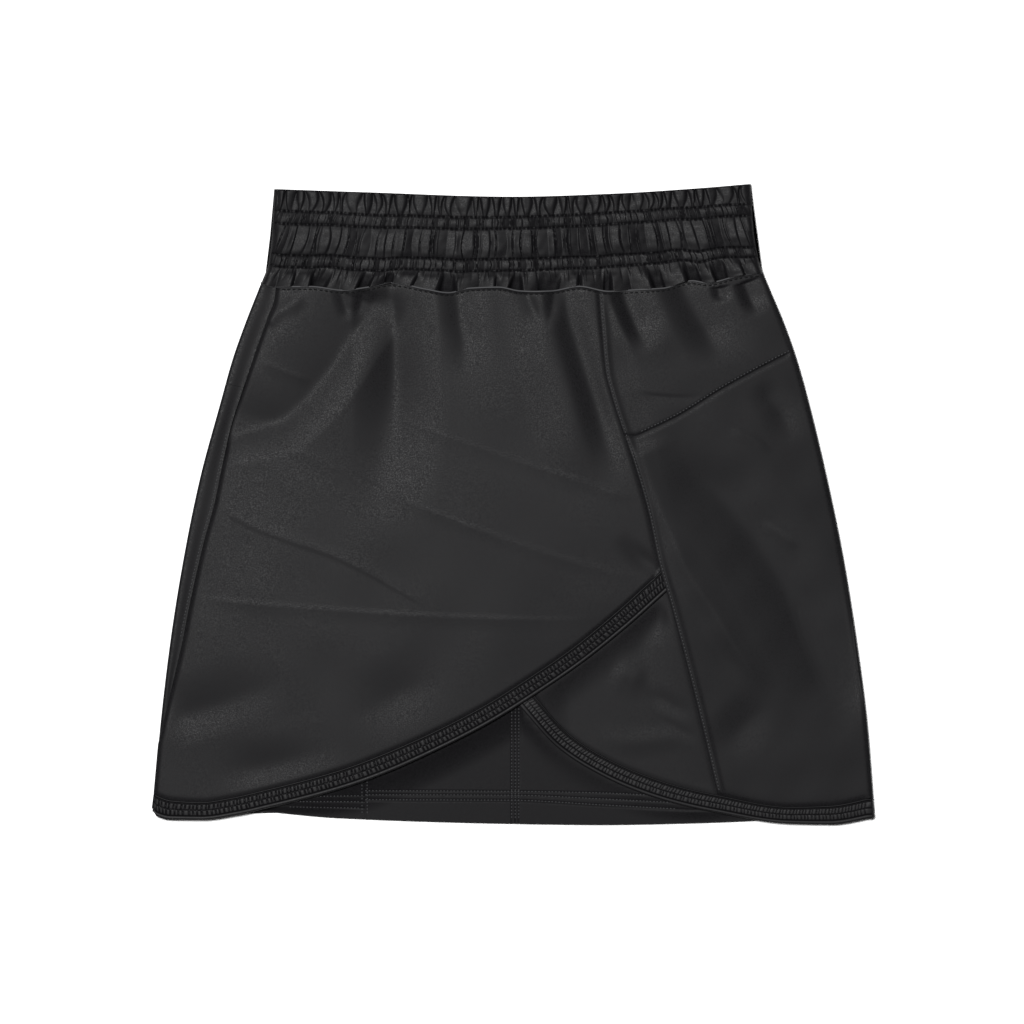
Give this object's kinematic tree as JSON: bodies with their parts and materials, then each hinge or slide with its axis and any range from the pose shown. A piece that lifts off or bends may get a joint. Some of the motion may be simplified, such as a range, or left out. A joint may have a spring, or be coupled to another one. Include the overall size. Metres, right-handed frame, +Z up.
{
  "type": "lined athletic skort",
  "caption": "Lined athletic skort laid flat, with a gathered elastic waistband, a wrap front with shirred curved hems, a side yoke and an undivided lining that shows below the wrap.",
  "frame": {"origin": "on the surface the garment lies on, under the middle of its outline", "axes": "+X to the right and +Y towards the waist as the front is looked down on, +Z up off the surface"},
  "size_m": [0.4482, 0.3973, 0.009],
  "materials": {
    "shell_fabric": "matte black woven stretch cloth with a slight sheen",
    "waistband_fabric": "the shell cloth gathered on rows of elastic stitching",
    "hem_band_fabric": "narrow shirred band with a cord edge",
    "lining_fabric": "matte black knit with coverstitched seams"
  },
  "bodies": {
    "root": {"waistband_front": "waistband_fabric", "waistband_back": "waistband_fabric", "front_wrap_panel": "shell_fabric", "front_under_panel": "shell_fabric", "front_side_yoke": "shell_fabric", "front_side_panel": "shell_fabric", "back_yoke": "shell_fabric", "back_panel": "shell_fabric", "wrap_hem_band": "hem_band_fabric", "under_hem_band": "hem_band_fabric", "back_hem_band": "hem_band_fabric", "lining_side": "lining_fabric", "lining_left": "lining_fabric", "lining_right": "lining_fabric"}
  },
  "joints": []
}
